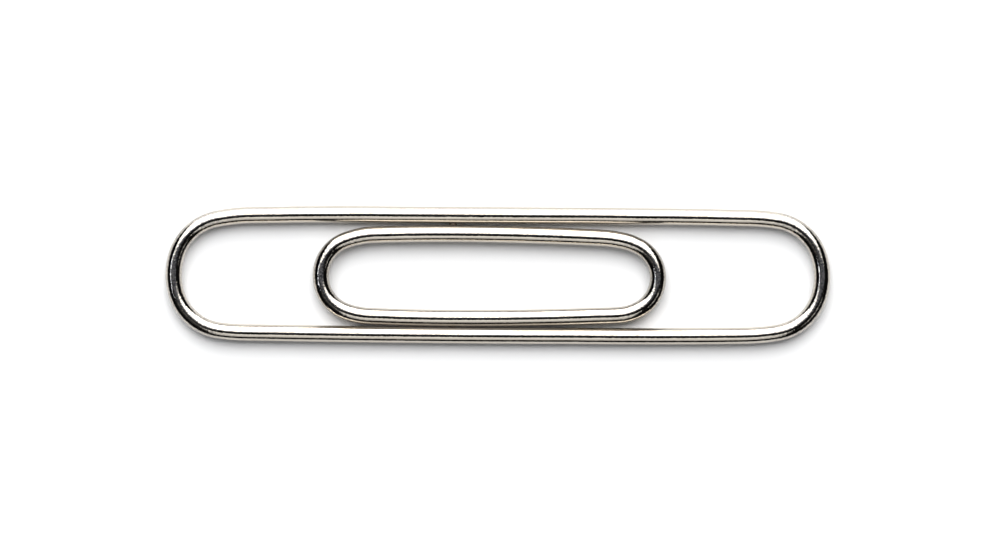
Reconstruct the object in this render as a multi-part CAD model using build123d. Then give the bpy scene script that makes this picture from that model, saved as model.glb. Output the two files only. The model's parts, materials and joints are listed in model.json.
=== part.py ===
from build123d import *
from math import atan2, cos, radians, sin
import os

# Paper clip of two closed oval loops of plated steel wire. The short loop lies inside the long one,
# between its legs and a little higher, and is tacked to it on both long sides, so that each of its ends is a
# springy tongue.
# Millimetres. The clip lies flat on z = 0, centred on the Z axis, with its length along X.

# Driving dimensions
wire_diameter = 1.26

# The outer loop, measured over the wire. The bow is how far each leg comes in from mid-length to a bend.
clip_length = 50.0
clip_width = 10.31
outer_bow = 0.12

# The inner loop reaches both ways, over the wire, from its widest place, where the tacks are.
tack_station = -3.4
inner_left_reach = 10.53
inner_right_reach = 16.06
inner_left_bow = 0.11
inner_right_bow = 0.24

# Slots between the legs of the two loops at the tacks.
rear_slot = 0.17
front_slot = 0.03

# How far the inner loop stands up from the surface, so that paper finds its way between the loops.
inner_lift = 0.15

# A bend is a tip arc between two shoulder arcs, each led into from its leg by a slack run-in arc. The
# roundness is the tip's radius over half the width of the bend, and the run-in the same for its radius.
# A shoulder starts where the wire has turned by the ease and takes the turn, both in degrees.
outer_roundness = 1.14
outer_turn = 62
outer_ease = 10
outer_run_in = 3.3
inner_left_roundness = 1.01
inner_left_turn = 58
inner_left_ease = 21
inner_left_run_in = 2.1
inner_right_roundness = 0.90
inner_right_turn = 20
inner_right_ease = 9
inner_right_run_in = 3.9

# Weld tacks, each a nugget let into the outer leg. The drop is how far they lie below half way between the
# middles of the two wires, and the clearance lets the inner legs rock past them.
tack_diameter = 0.6
tack_depth = 0.25
tack_drop = 0.1
tack_clearance = 0.02

# Worked out from the driving dimensions
wire_radius = wire_diameter / 2
outer_half_width = clip_width / 2 - wire_radius
outer_reach = clip_length / 2 - wire_radius
slots = rear_slot + front_slot
inner_half_width = outer_half_width - wire_diameter - slots / 2
inner_y = (front_slot - rear_slot) / 2
inner_z = wire_radius + inner_lift
tack_z = (wire_radius + inner_z) / 2 - tack_drop


def half_oval(reach, half_width, bow, roundness, turn, ease, run_in):
    """Edges of the +X half of a loop's centreline, from (0, half_width) round the tip to (0, -half_width).

    The leg is a long arc, level at x = 0. The run-in, shoulder and tip arcs follow, each tangent to the last.
    """
    rise = radians(90 - ease - turn)
    ease = radians(ease)
    bend_half = half_width - bow
    tip_radius = roundness * bend_half
    run_radius = run_in * bend_half
    # The run-in's circle just reaches bend_half, which sets the radius of the shoulder between it and the tip.
    shoulder_radius = (bend_half - tip_radius * sin(rise) - run_radius * (1 - cos(ease))) / (cos(ease) - sin(rise))

    # Centres, from the tip back to the leg
    shoulder_x = reach - tip_radius + (tip_radius - shoulder_radius) * cos(rise)
    shoulder_y = (tip_radius - shoulder_radius) * sin(rise)
    run_x = shoulder_x + (shoulder_radius - run_radius) * sin(ease)
    run_y = bend_half - run_radius
    leg_radius = (run_x**2 + (half_width - run_y) ** 2 - run_radius**2) / (2 * bow)
    lean = atan2(run_x, leg_radius - half_width + run_y)

    run_start = (run_x + run_radius * sin(lean), run_y + run_radius * cos(lean))
    shoulder_start = (shoulder_x + shoulder_radius * sin(ease), shoulder_y + shoulder_radius * cos(ease))
    shoulder_end = (shoulder_x + shoulder_radius * cos(rise), shoulder_y + shoulder_radius * sin(rise))
    leg = TangentArc((0, half_width), run_start, tangent=(1, 0))
    run = TangentArc(run_start, shoulder_start, tangent=leg % 1)
    shoulder = TangentArc(shoulder_start, shoulder_end, tangent=run % 1)
    tip = ThreePointArc(shoulder_end, (reach, 0), (shoulder_end[0], -shoulder_end[1]))
    return [leg, run, shoulder, tip] + [edge.mirror(Plane.XZ) for edge in (shoulder, run, leg)]


def wire_loop(left_half, right_half, x, y, z):
    """Round wire bent to a closed loop about the given point. The left half is given as its mirror image."""
    edges = right_half + [edge.mirror(Plane.YZ) for edge in left_half]
    centreline = Pos(x, y, z) * Wire(edges)
    section = Plane(centreline @ 0, z_dir=centreline % 0) * Circle(wire_radius)
    return sweep(section, path=centreline)


def weld_tack(side):
    """Weld nugget from close to an inner leg into the outer leg beside it. The side is 1 rear, -1 front."""
    inner_face = inner_y + side * (inner_half_width + wire_radius + tack_clearance)
    outer_face = side * (outer_half_width - wire_radius + tack_depth)
    place = Plane((tack_station, inner_face, tack_z), z_dir=(0, side, 0))
    return extrude(place * Circle(tack_diameter / 2), abs(outer_face - inner_face))


rear_tack = weld_tack(1)
front_tack = weld_tack(-1)

outer_half = half_oval(
    outer_reach, outer_half_width, outer_bow, outer_roundness, outer_turn, outer_ease, outer_run_in
)
outer_loop = wire_loop(outer_half, outer_half, 0, 0, wire_radius) - rear_tack - front_tack

inner_left_half = half_oval(
    inner_left_reach - wire_radius, inner_half_width, inner_left_bow,
    inner_left_roundness, inner_left_turn, inner_left_ease, inner_left_run_in,
)
inner_right_half = half_oval(
    inner_right_reach - wire_radius, inner_half_width, inner_right_bow,
    inner_right_roundness, inner_right_turn, inner_right_ease, inner_right_run_in,
)
inner_loop = wire_loop(inner_left_half, inner_right_half, tack_station, inner_y, inner_z)

nodes = {
    "outer_loop": outer_loop,
    "inner_loop": inner_loop,
    "weld_tack_rear": rear_tack,
    "weld_tack_front": front_tack,
}
os.makedirs("parts", exist_ok=True)
for name, shape in nodes.items():
    shape.label = name
    export_step(shape, f"parts/{name}.step")
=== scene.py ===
import json
from math import atan2, cos, pi, radians, sin

import bmesh
import bpy
import numpy as np
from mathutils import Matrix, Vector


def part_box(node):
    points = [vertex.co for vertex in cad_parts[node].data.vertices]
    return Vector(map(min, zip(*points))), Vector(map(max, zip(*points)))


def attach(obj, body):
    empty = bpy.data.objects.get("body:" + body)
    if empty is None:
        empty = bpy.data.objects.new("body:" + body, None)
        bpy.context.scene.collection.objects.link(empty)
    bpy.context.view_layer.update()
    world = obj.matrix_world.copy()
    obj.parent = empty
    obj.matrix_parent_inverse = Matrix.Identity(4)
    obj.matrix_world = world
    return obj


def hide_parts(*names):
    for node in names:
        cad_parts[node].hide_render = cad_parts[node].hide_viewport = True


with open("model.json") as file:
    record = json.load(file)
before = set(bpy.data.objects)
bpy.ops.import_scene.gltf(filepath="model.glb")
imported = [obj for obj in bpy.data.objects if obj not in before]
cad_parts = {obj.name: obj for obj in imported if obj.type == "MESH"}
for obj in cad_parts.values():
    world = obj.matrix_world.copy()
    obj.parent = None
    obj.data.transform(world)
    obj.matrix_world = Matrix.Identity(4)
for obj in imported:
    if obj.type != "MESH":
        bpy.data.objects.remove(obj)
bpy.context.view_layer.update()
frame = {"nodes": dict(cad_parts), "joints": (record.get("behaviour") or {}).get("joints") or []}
print("frame loaded:", ", ".join(sorted(frame["nodes"])))

mm = 0.001
rockAxis = np.array(frame["joints"][0]["pos_m"])  # the hinge line, through both tacks
outerLow, outerHigh = (np.array(corner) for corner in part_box("outer_loop"))
innerLow, innerHigh = (np.array(corner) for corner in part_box("inner_loop"))
wireRadius = (outerHigh[2] - outerLow[2]) / 2


# Meshes

def skin(name, points, closedAlong=False, closedAround=False):
    # A grid of points [along, around] becomes quads. A closed direction joins its last row to its first.
    rows, columns = points.shape[:2]
    i, j = np.meshgrid(
        np.arange(rows - 1 + closedAlong), np.arange(columns - 1 + closedAround), indexing="ij"
    )
    turns = [(0, 0), (0, 1), (1, 1), (1, 0)]
    quads = np.stack([(i + a) % rows * columns + (j + b) % columns for a, b in turns], axis=-1)
    mesh = bpy.data.meshes.new(name)
    mesh.vertices.add(rows * columns)
    mesh.vertices.foreach_set("co", points.astype(np.float32).ravel())
    mesh.loops.add(quads.size)
    mesh.loops.foreach_set("vertex_index", quads.astype(np.int32).ravel())
    mesh.polygons.add(i.size)
    mesh.polygons.foreach_set("loop_start", np.arange(i.size, dtype=np.int32) * 4)
    mesh.update(calc_edges=True)
    mesh.shade_smooth()
    piece = bpy.data.objects.new(name, mesh)
    bpy.context.scene.collection.objects.link(piece)
    return piece


def tell(piece, name, kind, field, values):
    # A value for each point of the skin, which the finish reads by name.
    attribute = piece.data.attributes.new(name, kind, "POINT")
    attribute.data.foreach_set(field, values.astype(np.float32).ravel())


# The two wire loops

# The bow is how far a leg comes in from its middle to the bend. Roundness and run-in are the radii of the
# tip and of the slack arc that leads in, over half the width of the bend. A shoulder starts at the ease and
# takes the turn, in degrees.
outerBend = {"bow": 0.12 * mm, "roundness": 1.14, "turn": 62, "ease": 10, "runIn": 3.3}
leftBend = {"bow": 0.11 * mm, "roundness": 1.01, "turn": 58, "ease": 21, "runIn": 2.1}
rightBend = {"bow": 0.24 * mm, "roundness": 0.90, "turn": 20, "ease": 9, "runIn": 3.9}
wireSection = {
    "outerRings": 900,
    "innerRings": 640,
    "sides": 96,
    "bendFlat": 0.012,  # share of its thickness that the wire loses across a bend
    "bendReach": 1.6 * mm,  # length over which that comes on
    "rollWave": 0.004,  # share of its thickness that the straightening rolls left in waves
    "rollWaves": [(7, 2, 0), (13, -2, 1), (29, 3, 0)],  # how many in a lap, round the wire, and phase
}
# Where bending left the wire a little off its line: middle and half length along X, which legs (1 rear,
# -1 front, 0 both) and how far they moved in Y.
outerDrift = [
    {"x": -23.3 * mm, "half": 3.6 * mm, "leg": 0, "by": -0.068 * mm},
    {"x": -12.5 * mm, "half": 4.0 * mm, "leg": 1, "by": 0.034 * mm},
    {"x": 0.5 * mm, "half": 5.0 * mm, "leg": 1, "by": -0.018 * mm},
    {"x": 14.4 * mm, "half": 2.6 * mm, "leg": 1, "by": 0.017 * mm},
    {"x": 22.4 * mm, "half": 2.8 * mm, "leg": 1, "by": 0.026 * mm},
    {"x": 14.0 * mm, "half": 5.0 * mm, "leg": -1, "by": -0.040 * mm},
    {"x": 8.2 * mm, "half": 2.0 * mm, "leg": -1, "by": -0.013 * mm},
]
innerDrift = [
    {"x": 11.2 * mm, "half": 2.7 * mm, "leg": 0, "by": -0.070 * mm},
    {"x": -12.6 * mm, "half": 2.6 * mm, "leg": 0, "by": -0.040 * mm},
    {"x": 10.8 * mm, "half": 1.7 * mm, "leg": -1, "by": -0.030 * mm},
]
# Painted shade on the plate where the loops lie close, a dull brown darkening in place of the shade between
# them. Reach is the gap at which it is gone, and share how strong it gets.
slotShading = {
    "outer": {"reach": 0.25 * mm, "share": 1.0},
    "inner": {"reach": 1.4 * mm, "share": 0.6},
    "from": 0.54,  # how far a face looks at the other loop where the painted shade starts, if the loops touch
    "sink": 0.20,  # how much later it starts where they part
    "settle": 0.08 * mm,  # gap over which that comes on
    "blend": 0.14,
}


def halfArcs(reach, halfWidth, bend):
    # Right half of a centreline, clockwise, as arcs: centre x, centre y, radius, first angle, last angle.
    # A leg is a long arc, level where it starts. Run-in, shoulder and tip follow, each tangent to the last.
    rise = radians(90 - bend["ease"] - bend["turn"])
    ease = radians(bend["ease"])
    bendHalf = halfWidth - bend["bow"]
    tip = bend["roundness"] * bendHalf
    run = bend["runIn"] * bendHalf
    shoulder = (bendHalf - tip * sin(rise) - run * (1 - cos(ease))) / (cos(ease) - sin(rise))
    x = reach - tip + (tip - shoulder) * cos(rise)
    y = (tip - shoulder) * sin(rise)
    runX = x + (shoulder - run) * sin(ease)
    runY = bendHalf - run
    leg = (runX**2 + (halfWidth - runY) ** 2 - run**2) / (2 * bend["bow"])
    start = pi / 2 - atan2(runX, leg - halfWidth + runY)
    upper = [
        (0, halfWidth - leg, leg, pi / 2, start),
        (runX, runY, run, start, pi / 2 - ease),
        (x, y, shoulder, pi / 2 - ease, rise),
    ]
    lower = [(cx, -cy, radius, -last, -first) for cx, cy, radius, first, last in reversed(upper)]
    return np.array(upper + [(reach - tip, 0, tip, rise, -rise)] + lower)


def loopLine(right, left, rings):
    # The closed centreline: its points, outward directions, curvature and distance along, ring by ring.
    # Rings share out by length and by turning, half and half, so the bends get more of them.
    half = left * np.array([-1, -1, 1, 1, 1]) - np.array([0, 0, 0, pi, pi])
    arcs = np.concatenate([right, half])
    turning = arcs[:, 3] - arcs[:, 4]
    lengths = arcs[:, 2] * turning
    share = np.concatenate([[0], np.cumsum(lengths / lengths.sum() + turning / turning.sum())])
    place = np.linspace(0, share[-1], rings, endpoint=False)
    which = np.searchsorted(share, place, side="right") - 1
    fraction = (place - share[which]) / (share[which + 1] - share[which])
    angle = arcs[which, 3] - fraction * turning[which]
    outward = np.stack([np.cos(angle), np.sin(angle), np.zeros(rings)], axis=-1)
    line = outward * arcs[which, 2, None]
    line[:, :2] += arcs[which, :2]
    distance = np.concatenate([[0], np.cumsum(lengths)])[which] + fraction * lengths[which]
    return line, outward, 1 / arcs[which, 2], distance, lengths.sum()


def drifted(line, drift):
    # Each entry moves its legs by the amount * exp(-((x - middle) / half)^4), eased from leg to leg.
    moved = line.copy()
    side = (line[:, 1] / (2 * wireRadius)).clip(-1, 1)
    for plan in drift:
        share = (1 + plan["leg"] * side) / 2 if plan["leg"] else 1
        moved[:, 1] += share * plan["by"] * np.exp(-(((line[:, 0] - plan["x"]) / plan["half"]) ** 4))
    return moved


def bentWire(name, right, left, centre, rings, drift):
    # Round section carried round the centreline:
    # point = line + thickness(distance, angle) * (cos(angle) * outward + sin(angle) * up)
    line, outward, curvature, distance, total = loopLine(right, left, rings)
    line = drifted(centre + line, drift)
    apart = np.abs(distance[:, None] - distance[None, :])
    apart = np.minimum(apart, total - apart)
    weight = np.exp(-((apart / wireSection["bendReach"]) ** 2)) * np.gradient(distance).clip(0)[None, :]
    bend = (weight @ curvature) / weight.sum(axis=1)
    bend = (bend / bend.max())[:, None]
    angle = np.linspace(0, 2 * pi, wireSection["sides"], endpoint=False)[None, :]
    lap = 2 * pi * (distance / total)[:, None]
    waves = [np.sin(laps * lap + lobes * angle + phase) for laps, lobes, phase in wireSection["rollWaves"]]
    lost = (1 + sum(waves) / len(waves)) / 2
    thickness = wireRadius * (
        1 - wireSection["bendFlat"] * bend * np.cos(angle) ** 2 - wireSection["rollWave"] * lost
    )
    side = (thickness * np.cos(angle))[..., None] * outward[:, None, :]
    up = (thickness * np.sin(angle))[..., None] * np.array([0, 0, 1])
    piece = skin(name, line[:, None, :] + side + up, True, True)

    # the wire as it was before bending: across, across and along, mirrored at half way so that it closes
    straight = np.stack(np.broadcast_arrays(
        wireRadius * np.cos(angle), wireRadius * np.sin(angle), np.abs(distance - total / 2)[:, None]
    ), axis=-1)
    tell(piece, "drawnWire", "FLOAT_VECTOR", "vector", straight)
    tell(piece, "bend", "FLOAT", "value", np.broadcast_to(bend, straight.shape[:2]))
    return piece, line, np.cos(angle)


def paintSlotShade(piece, line, outwardness, otherLine, reach, share):
    # How much painted shade the plate gets between the loops: share * closeness(gap) * flank(angle, gap)
    apart = np.linalg.norm(line[:, None, :2] - otherLine[None, :, :2], axis=-1).min(axis=1)[:, None]
    gap = apart - 2 * wireRadius
    closeness = (2 - 2 * gap / reach).clip(0, 1)
    start = slotShading["from"] + slotShading["sink"] * (1 - np.exp(-gap / slotShading["settle"]))
    flank = ((outwardness - start) / slotShading["blend"]).clip(0, 1)
    tell(piece, "stain", "FLOAT", "value", share * closeness * flank * flank * (3 - 2 * flank))


outerHalf = halfArcs(outerHigh[0] - wireRadius, outerHigh[1] - wireRadius, outerBend)
outerLoop, outerLine, outerOut = bentWire(
    "outerLoop", outerHalf, outerHalf, np.array([0, 0, wireRadius]), wireSection["outerRings"], outerDrift
)

innerMiddle = np.array([rockAxis[0], (innerLow[1] + innerHigh[1]) / 2, (innerLow[2] + innerHigh[2]) / 2])
innerHalfWidth = (innerHigh[1] - innerLow[1]) / 2 - wireRadius
innerLoop, innerLine, innerOut = bentWire(
    "innerLoop",
    halfArcs(innerHigh[0] - rockAxis[0] - wireRadius, innerHalfWidth, rightBend),
    halfArcs(rockAxis[0] - innerLow[0] - wireRadius, innerHalfWidth, leftBend),
    innerMiddle,
    wireSection["innerRings"],
    innerDrift,
)
paintSlotShade(outerLoop, outerLine, -outerOut, innerLine, **slotShading["outer"])
paintSlotShade(innerLoop, innerLine, innerOut, outerLine, **slotShading["inner"])
print("wire loops:", len(outerLoop.data.polygons), "and", len(innerLoop.data.polygons), "faces")


# The weld tacks

tack = {
    "sides": 72,
    "wall": 20,  # rows along the wall of the nugget
    "cap": 9,  # rows from the middle of an end to its rim
    "waist": 0.16,  # how far the nugget draws in half way across the slot
    "lumps": 0.05,  # unevenness of the frozen weld
    "lumpWaves": [(0.3, 3, 4, 0), (0.2, 5, -3, 1)],  # share of it, how many round and across, and the phase
    "poleJoin": 1e-8,  # metres within which the points of a pole are one
}


def weldNugget(name, node):
    # radius(w, angle) = tack radius * (1 - waist * sin(pi * w)) * lumps(angle, w), for w from end to end
    # in y. Each end is a cap whose rows shrink to a pole.
    low, high = (np.array(corner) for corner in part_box(node))
    middle = (low + high) / 2
    radius = (high[2] - low[2]) / 2
    reach = np.concatenate([
        np.linspace(0, 1, tack["cap"], endpoint=False), np.ones(tack["wall"]),
        np.linspace(1, 0, tack["cap"] + 1)[1:],
    ])[:, None]
    across = np.concatenate([
        np.zeros(tack["cap"]), np.linspace(0, 1, tack["wall"]), np.ones(tack["cap"]),
    ])[:, None]
    angle = np.linspace(0, 2 * pi, tack["sides"], endpoint=False)[None, :]
    lumps = 1 - tack["lumps"] * sum(
        share * (1 + np.sin(lobes * angle + swirl * across + phase))
        for share, lobes, swirl, phase in tack["lumpWaves"]
    )
    grown = radius * reach * (1 - tack["waist"] * np.sin(pi * across)) * lumps
    x = grown * np.cos(angle)
    z = grown * np.sin(angle)
    y = np.broadcast_to(low[1] + (high[1] - low[1]) * across, x.shape)
    piece = skin(name, np.stack([middle[0] + x, y, middle[2] + z], axis=-1), False, True)

    form = bmesh.new()
    form.from_mesh(piece.data)
    bmesh.ops.remove_doubles(form, verts=form.verts, dist=tack["poleJoin"])  # closes the two poles
    bmesh.ops.recalc_face_normals(form, faces=form.faces)
    form.to_mesh(piece.data)
    form.free()
    piece.data.shade_smooth()
    return piece


rearTack = weldNugget("rearTack", "weld_tack_rear")
frontTack = weldNugget("frontTack", "weld_tack_front")
print("weld tacks:", len(rearTack.data.polygons), "and", len(frontTack.data.polygons), "faces")


# Finishes

class Tone:
    # A socket that takes part in sums: each operator adds one Math node.
    def __init__(self, tree, socket):
        self.tree = tree
        self.socket = socket

    def math(self, operation, *values):
        return addNode(self.tree, "ShaderNodeMath", {"operation": operation}, dict(enumerate(values)))

    def __add__(self, other):
        return self.math("ADD", self, other)

    def __radd__(self, other):
        return self.math("ADD", other, self)

    def __sub__(self, other):
        return self.math("SUBTRACT", self, other)

    def __rsub__(self, other):
        return self.math("SUBTRACT", other, self)

    def __mul__(self, other):
        return self.math("MULTIPLY", self, other)

    def __rmul__(self, other):
        return self.math("MULTIPLY", other, self)

    def __truediv__(self, other):
        return self.math("DIVIDE", self, other)

    def clamped(self):
        return self.math("MAXIMUM", self.math("MINIMUM", self, 1.0), 0.0)


def addNode(tree, kind, settings=None, sockets=None, output=0):
    # One node: settings first, then values or links of its sockets by name or number.
    node = tree.nodes.new(kind)
    for key, value in (settings or {}).items():
        setattr(node, key, value)
    for key, value in (sockets or {}).items():
        socket = node.inputs[key]
        if isinstance(value, Tone):
            tree.links.new(value.socket, socket)
        else:
            socket.default_value = value
    return Tone(tree, node.outputs[output]) if len(node.outputs) else node


def finish(name):
    # A new material with an empty tree.
    material = bpy.data.materials.new(name)
    material.use_nodes = True
    material.node_tree.nodes.clear()
    return material, material.node_tree


def spread(tree, vector, size, detail=2.0):
    # Noise from 0 to 1 whose features are about that many metres across.
    return addNode(tree, "ShaderNodeTexNoise", {"noise_dimensions": "3D"}, {
        "Vector": vector, "Scale": 1 / size, "Detail": detail, "Roughness": 0.55,
    })


def mixed(tree, share, first, second):
    # A colour between two others.
    return addNode(tree, "ShaderNodeMix", {"data_type": "RGBA"}, {0: share, 6: first, 7: second}, output=2)


def metalSurface(tree, colour, roughness, height):
    # Closes a tree with metal whose relief is given in metres.
    normal = addNode(tree, "ShaderNodeBump", None, {"Strength": 1.0, "Distance": 1.0, "Height": height})
    surface = addNode(tree, "ShaderNodeBsdfPrincipled", None, {
        "Base Color": colour, "Metallic": 1.0, "Roughness": roughness, "Normal": normal,
    })
    addNode(tree, "ShaderNodeOutputMaterial", None, {"Surface": surface})


nickel = {
    "bright": (0.665, 0.615, 0.540, 1),
    "worn": (0.60, 0.545, 0.465, 1),
    "stained": (0.42, 0.385, 0.345, 1),  # painted shade in the slots
    "pits": (0.20, 0.20, 0.21, 1),
    "sheen": 0.055,  # roughness of the legs
    "lineHaze": 0.03,  # roughness that the drawing lines add
    "bendHaze": 0.04,  # and the bends
    "wearHaze": 0.02,  # and the worn patches
    "stainHaze": 0.45,  # and the painted slot shade
    "lineSize": 0.05 * mm,  # drawing lines, across the wire
    "lineStretch": 0.02,  # their width over their length
    "patchSize": 2.5 * mm,
    "patchGain": 1.6,  # how sharply worn patches stand out
    "patchFrom": 0.4,
    "wearShare": 0.5,  # how much of the worn colour patches and lines bring
    "lineShare": 0.2,
    "stainEven": 0.75,  # strength of the painted slot shade where it is weakest
    "stainStreak": 0.25,  # what lines and patches add to it
    "grainSize": 0.13 * mm,  # the skin that stretched at the bends
    "grainDepth": 0.008 * mm,
    "grainGain": 4,  # how sharply its pits stand out
    "grainFrom": 1.5,
    "grainShade": 0.8,  # share of its brightness that the skin loses in the pits
    "rollSize": 0.16 * mm,  # what the straightening rolls left
    "rollDepth": 0.009 * mm,
    "rollEven": 0.4,  # share of that depth where nothing is worn
}


def nickelPlate():
    material, tree = finish("nickelPlate")
    straight = addNode(tree, "ShaderNodeAttribute", {"attribute_name": "drawnWire"}, output=1)
    bend = addNode(tree, "ShaderNodeAttribute", {"attribute_name": "bend"}, output=2)
    stain = addNode(tree, "ShaderNodeAttribute", {"attribute_name": "stain"}, output=2)

    # drawing lines run along the wire
    drawn = addNode(tree, "ShaderNodeMapping", {"vector_type": "POINT"}, {
        "Vector": straight, "Scale": (1, 1, nickel["lineStretch"]),
    })
    lines = spread(tree, drawn, nickel["lineSize"])
    marks = spread(tree, straight, nickel["rollSize"], detail=1.0)
    grain = spread(tree, straight, nickel["grainSize"], detail=3.0)
    patches = spread(tree, straight, nickel["patchSize"])

    wear = (patches * nickel["patchGain"] - nickel["patchFrom"]).clamped()
    speckle = (grain * nickel["grainGain"] - nickel["grainFrom"]).clamped()
    paintedShadeShare = (stain * (nickel["stainEven"] + (lines + patches) * nickel["stainStreak"])).clamped()

    colour = mixed(
        tree, wear * nickel["wearShare"] + lines * nickel["lineShare"], nickel["bright"], nickel["worn"]
    )
    colour = mixed(tree, speckle * bend * nickel["grainShade"], colour, nickel["pits"])
    # painted shade: the plate is darkened and browned where the loops lie close
    colour = mixed(tree, paintedShadeShare, colour, nickel["stained"])
    roughness = (
        nickel["sheen"] + lines * nickel["lineHaze"] + bend * speckle * nickel["bendHaze"]
        + wear * nickel["wearHaze"] + paintedShadeShare * nickel["stainHaze"]
    )
    rolled = marks * (nickel["rollEven"] + wear * (1 - nickel["rollEven"]))
    metalSurface(tree, colour, roughness, rolled * nickel["rollDepth"] + grain * bend * nickel["grainDepth"])
    return material


weld = {
    "bright": (0.17, 0.14, 0.11, 1),
    "scorched": (0.11, 0.09, 0.07, 1),
    "scorchSize": 0.3 * mm,
    "scorchDepth": 0.008 * mm,
    "scorchGain": 2,  # how sharply the scorched spots stand out
    "scorchFrom": 0.5,
    "grainSize": 0.06 * mm,
    "grainDepth": 0.004 * mm,
    "dullness": 0.6,  # roughness, to which the grain adds
    "grainHaze": 0.25,
}


def weldMetal():
    material, tree = finish("weldMetal")
    place = addNode(tree, "ShaderNodeTexCoord", None, output=3)
    scorch = spread(tree, place, weld["scorchSize"])
    grain = spread(tree, place, weld["grainSize"], detail=3.0)
    burnt = (scorch * weld["scorchGain"] - weld["scorchFrom"]).clamped()
    colour = mixed(tree, burnt, weld["bright"], weld["scorched"])
    roughness = weld["dullness"] + grain * weld["grainHaze"]
    metalSurface(tree, colour, roughness, grain * weld["grainDepth"] + scorch * weld["scorchDepth"])
    return material


plated = nickelPlate()
welded = weldMetal()
dressed = [
    (outerLoop, "outer", "outer_loop", "plated_wire", plated),
    (innerLoop, "inner", "inner_loop", "plated_wire", plated),
    (rearTack, "outer", "weld_tack_rear", "weld_metal", welded),
    (frontTack, "outer", "weld_tack_front", "weld_metal", welded),
]
for piece, body, node, slot, material in dressed:
    piece.data.materials.append(material)
    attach(piece, body)
    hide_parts(node)
print("finishes on", len(dressed), "pieces")


# The studio: white floor, one soft box behind, a white card in front, small cards and black cloth all round

studio = {
    "reach": 4.0,  # metres from the clip to the lights
    "floorRadius": 6.0,
    "floorTone": 0.95,
    "floorBeside": 0.80,  # painted shade: its darker tone as the legs mirror it
    "besideEnd": 21 * mm,  # how far along X that goes, to either side
    "besideFade": 3 * mm,
    "floorSheen": 0.12,  # roughness of its gloss
    "floorGlaze": 1.15,  # refractive index of the glaze that gives the gloss
    "clothRadius": 9.0,
    "clothTone": 0.004,
    "fill": 0.03,  # light from all round
    "pole": 1e-6,  # where the rings of floor and cloth start, as a share of the whole
    "rings": 24,
    "sides": 96,
}
plainWhite = (1, 1, 1, 1)
# Tilt is from straight up and turn from +Y towards +X, in degrees. The halves, and the shift along the
# width, are shares of the distance. Level is at the middle of the card. Fall is the share that it gains at
# the upper edge and loses at the lower, and dome the share that it loses at both.
softBox = {
    "tilt": 49, "turn": 0, "halfWidth": 0.88, "halfHeight": 0.82, "shift": -0.04,
    "level": 4.17, "fall": 0.03, "dome": 0.42,
}
# straight above, mirrored along the middles of the legs and at the tips
dimPanel = {
    "tilt": 2.5, "turn": 0, "halfWidth": 0.68, "halfHeight": 0.11,
    "level": 0.155, "tint": (0.91, 0.97, 1.15, 1),
}
# close in front: the pale band along the legs
whiteCard = {
    "tilt": 46, "turn": 180, "halfWidth": 0.346, "halfHeight": 0.335,
    "level": 0.9, "fall": 0.45, "reach": 0.23,
}
# close at the right, a little to the front
sideCard = {
    "tilt": 51, "turn": 119, "halfWidth": 0.19, "halfHeight": 0.065,
    "level": 0.65, "reach": 0.145,
}
# faint, between left and front
hazeCard = {
    "tilt": 36, "turn": 226, "halfWidth": 0.20, "halfHeight": 0.30,
    "level": 0.075, "fall": 1.0, "dome": -0.3,
}
# narrow, at the left: the fine streaks beside the tips
sideStrip = {
    "tilt": 40.5, "turn": -87, "halfWidth": 0.19, "halfHeight": 0.019,
    "level": 7.5, "tint": (0.90, 0.98, 1.15, 1),
}


def glow(name, level, fall=0, dome=0, tint=plainWhite):
    # Emission whose strength follows the card's own "height", -1 at its lower edge and 1 at its upper.
    material, tree = finish(name)
    height = addNode(tree, "ShaderNodeAttribute", {"attribute_name": "height"}, output=2)
    strength = (1 + height * fall - height * height * dome) * level
    light = addNode(tree, "ShaderNodeEmission", None, {"Color": tint, "Strength": strength})
    addNode(tree, "ShaderNodeOutputMaterial", None, {"Surface": light})
    return material


def card(name, plan):
    # Flat rectangle: point = reach * (direction + across * right + along * up)
    tilt = radians(plan["tilt"])
    turn = radians(plan["turn"])
    direction = np.array([sin(tilt) * sin(turn), sin(tilt) * cos(turn), cos(tilt)])
    up = np.array([-cos(tilt) * sin(turn), -cos(tilt) * cos(turn), sin(tilt)])
    right = np.array([cos(turn), -sin(turn), 0])
    ends = np.array([-1, 1])
    across = (ends * plan["halfWidth"] + plan.get("shift", 0))[:, None, None]
    along = (ends * plan["halfHeight"])[None, :, None]
    piece = skin(name, plan.get("reach", studio["reach"]) * (direction + across * right + along * up))
    tell(piece, "height", "FLOAT", "value", np.stack([ends, ends]))
    piece.data.materials.append(glow(
        name, plan["level"], plan.get("fall", 0), plan.get("dome", 0), plan.get("tint", plainWhite)
    ))
    piece.visible_camera = False
    piece.visible_shadow = False
    return piece


def discGrid():
    # Parameters of a round grid: share of the way out, ring by ring, and turn.
    out = np.linspace(studio["pole"], 1, studio["rings"])[:, None]
    turn = np.linspace(0, 2 * pi, studio["sides"], endpoint=False)[None, :]
    return out, turn


def blackCloth():
    # Half ball: point = radius * (sin(polar) * cos(turn), sin(polar) * sin(turn), cos(polar))
    out, turn = discGrid()
    polar = out * pi / 2
    points = np.stack(np.broadcast_arrays(
        np.sin(polar) * np.cos(turn), np.sin(polar) * np.sin(turn), np.cos(polar)
    ), axis=-1)
    piece = skin("blackCloth", studio["clothRadius"] * points, False, True)
    piece.data.materials.append(glow("blackCloth", studio["clothTone"]))
    piece.visible_camera = False
    piece.visible_diffuse = False
    piece.visible_shadow = False
    return piece


def rays(tree, kind):
    # 1 for rays of that kind, such as "Is Camera Ray", and 0 for others
    return addNode(tree, "ShaderNodeLightPath", output=kind)


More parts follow.
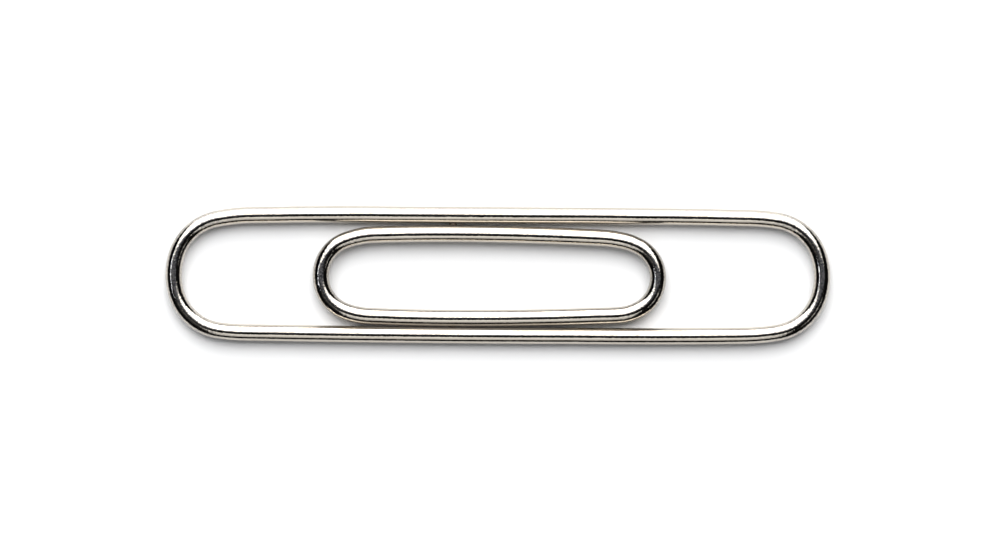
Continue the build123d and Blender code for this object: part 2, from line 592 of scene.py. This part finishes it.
def whiteFloor():
    # Disc: point = radius * out * (cos(turn), sin(turn), 0)
    out, turn = discGrid()
    points = np.stack(np.broadcast_arrays(out * np.cos(turn), out * np.sin(turn), 0 * out), axis=-1)
    piece = skin("floor", studio["floorRadius"] * points, False, True)
    material, tree = finish("floor")
    place = addNode(tree, "ShaderNodeTexCoord", None, output=3)
    along = addNode(tree, "ShaderNodeSeparateXYZ", None, {"Vector": place}, output=0)
    away = along.math("ABSOLUTE", along)
    mirroredShade = ((studio["besideEnd"] - away) / studio["besideFade"]).clamped()
    darker = studio["floorTone"] - studio["floorBeside"]
    # painted shade: glossy rays see the floor darker near the clip, so the legs mirror it darker
    tone = studio["floorTone"] - rays(tree, "Is Glossy Ray") * mirroredShade * darker
    board = addNode(tree, "ShaderNodeBsdfPrincipled", None, {
        "Base Color": tone, "Roughness": studio["floorSheen"], "IOR": studio["floorGlaze"],
    })
    addNode(tree, "ShaderNodeOutputMaterial", None, {"Surface": board})
    piece.data.materials.append(material)
    return piece


def paleRoom():
    world = bpy.data.worlds.new("paleRoom")
    world.use_nodes = True
    tree = world.node_tree
    tree.nodes.clear()
    seen = rays(tree, "Is Camera Ray") + rays(tree, "Is Glossy Ray") + rays(tree, "Is Transmission Ray")
    level = studio["fill"] + seen.clamped() * (1 - studio["fill"])
    room = addNode(tree, "ShaderNodeBackground", None, {"Color": plainWhite, "Strength": level})
    addNode(tree, "ShaderNodeOutputWorld", None, {"Surface": room})
    bpy.context.scene.world = world


whiteFloor()
blackCloth()
card("softBox", softBox)
card("dimPanel", dimPanel)
card("whiteCard", whiteCard)
card("sideCard", sideCard)
card("hazeCard", hazeCard)
card("sideStrip", sideStrip)
paleRoom()
bpy.context.scene.view_settings.view_transform = "Standard"
print("studio set")


# The camera, straight above

shot = {
    "lens": 200,  # focal length and sensor in the usual millimetres
    "sensor": 36,
    "fieldWidth": 75.17 * mm,  # what the frame takes in across, at the middle of the wire
    "aimX": 0.158 * mm,
    "aimY": 0.210 * mm,
    "roll": 0.0060,  # radians
    "near": 0.01,  # metres that it sees from and to
    "far": 20,
}
lens = bpy.data.cameras.new("camera")
lens.lens = shot["lens"]
lens.sensor_width = shot["sensor"]
lens.clip_start = shot["near"]
lens.clip_end = shot["far"]
camera = bpy.data.objects.new("camera", lens)
distance = shot["fieldWidth"] * shot["lens"] / shot["sensor"]
camera.location = (shot["aimX"], shot["aimY"], wireRadius + distance)
camera.rotation_euler = (0, 0, shot["roll"])
bpy.context.scene.collection.objects.link(camera)
bpy.context.scene.camera = camera
print("camera set")
